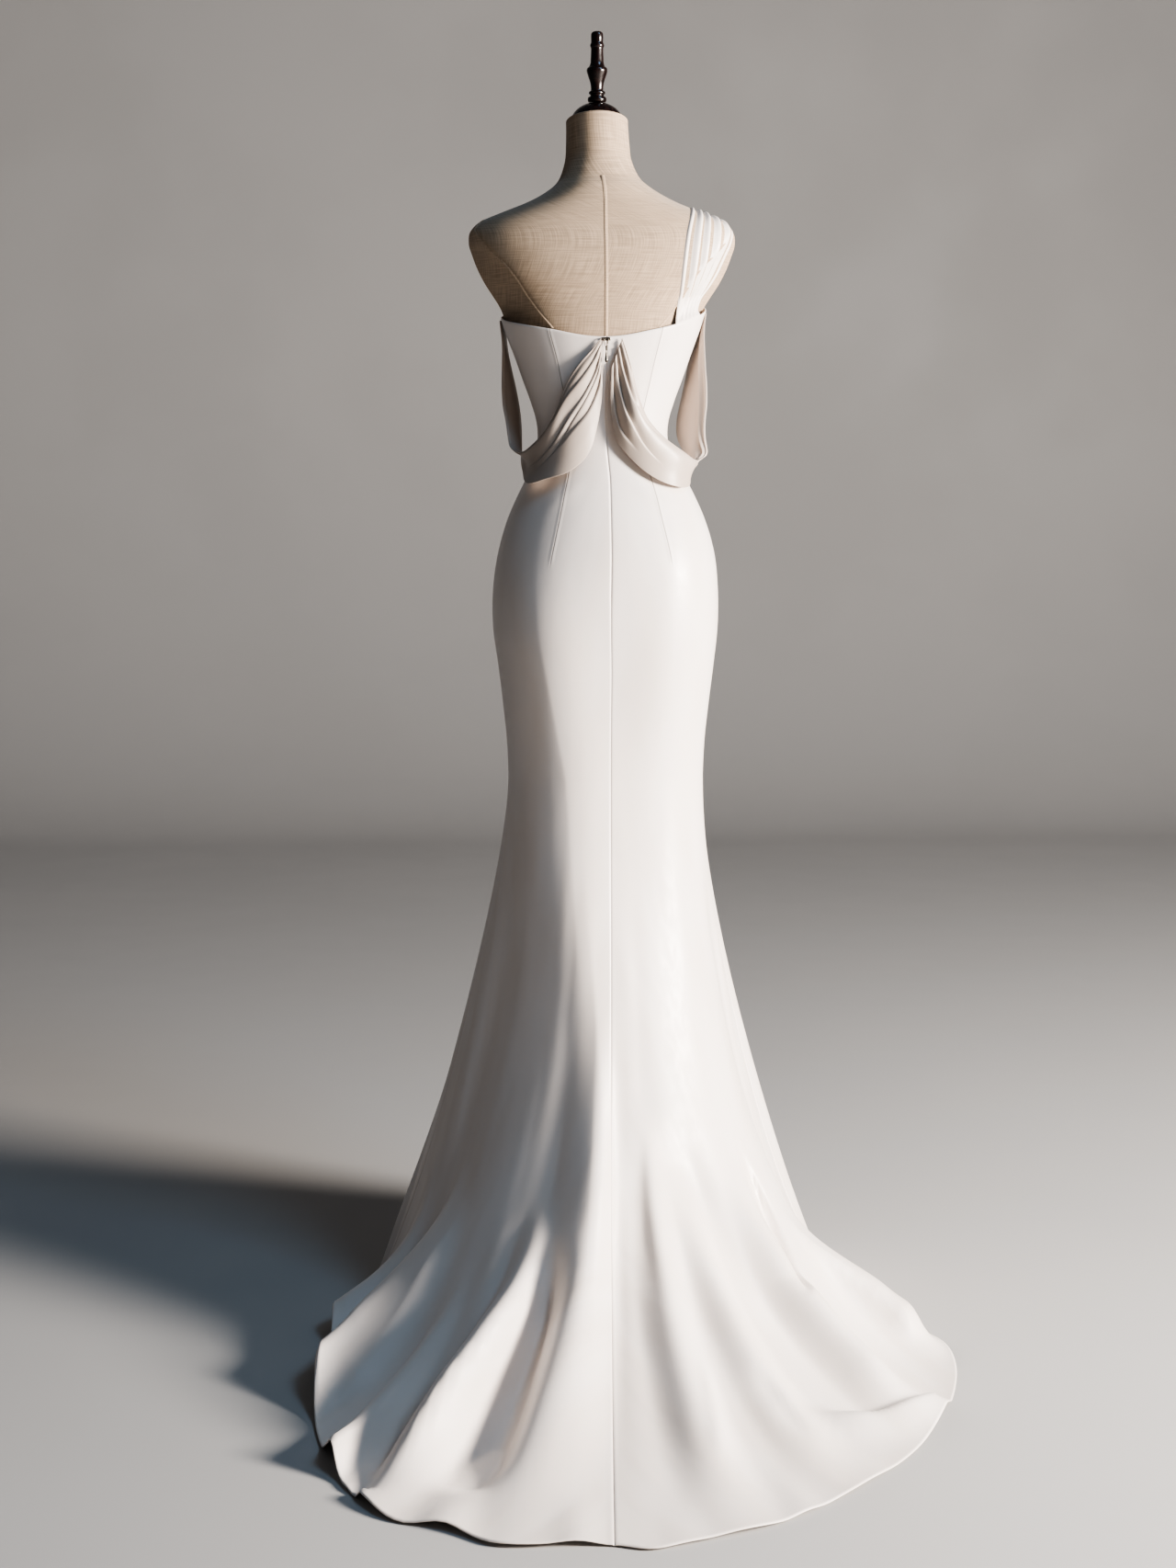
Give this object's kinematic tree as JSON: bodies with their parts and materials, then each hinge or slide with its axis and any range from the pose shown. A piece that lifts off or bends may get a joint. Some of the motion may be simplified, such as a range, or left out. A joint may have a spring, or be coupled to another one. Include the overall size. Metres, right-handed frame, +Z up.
{
  "type": "wedding dress on a dress form",
  "caption": "One-shoulder satin wedding gown with draped off-shoulder sleeves, back zip and a long train, on a linen dress form.",
  "frame": {"origin": "on the floor, at the centre of the form's round base", "axes": "+Z up along the pole, +X to the wearer's left, +Y behind the wearer where the train lies, -Y where the dress faces"},
  "size_m": [0.8922, 1.1879, 1.8566],
  "materials": {
    "ivory_satin": "smooth heavy satin with a soft sheen",
    "linen": "plain woven beige linen",
    "dark_wood": "turned, dark and polished",
    "zip_metal": "darkened silver metal",
    "black_steel": "black powder coat"
  },
  "bodies": {
    "dress_and_form": {"front_bodice": "ivory_satin", "front_skirt": "ivory_satin", "back_left": "ivory_satin", "back_right": "ivory_satin", "shoulder_strap": "ivory_satin", "drape_left": "ivory_satin", "drape_right": "ivory_satin", "zip_chain": "zip_metal", "zip_slider": "zip_metal", "form_torso": "linen", "neck_cap": "dark_wood", "finial": "dark_wood", "pole": "black_steel", "base": "black_steel"},
    "zip_pull": {"zip_pull": "zip_metal"}
  },
  "joints": [
    {"name": "zip_pull_hinge", "type": "hinge", "parent": "dress_and_form", "child": "zip_pull", "pos_m": [0, 0.10024, 1.4252], "axis": [1, 0, 0], "range_deg": [0, 165]}
  ]
}
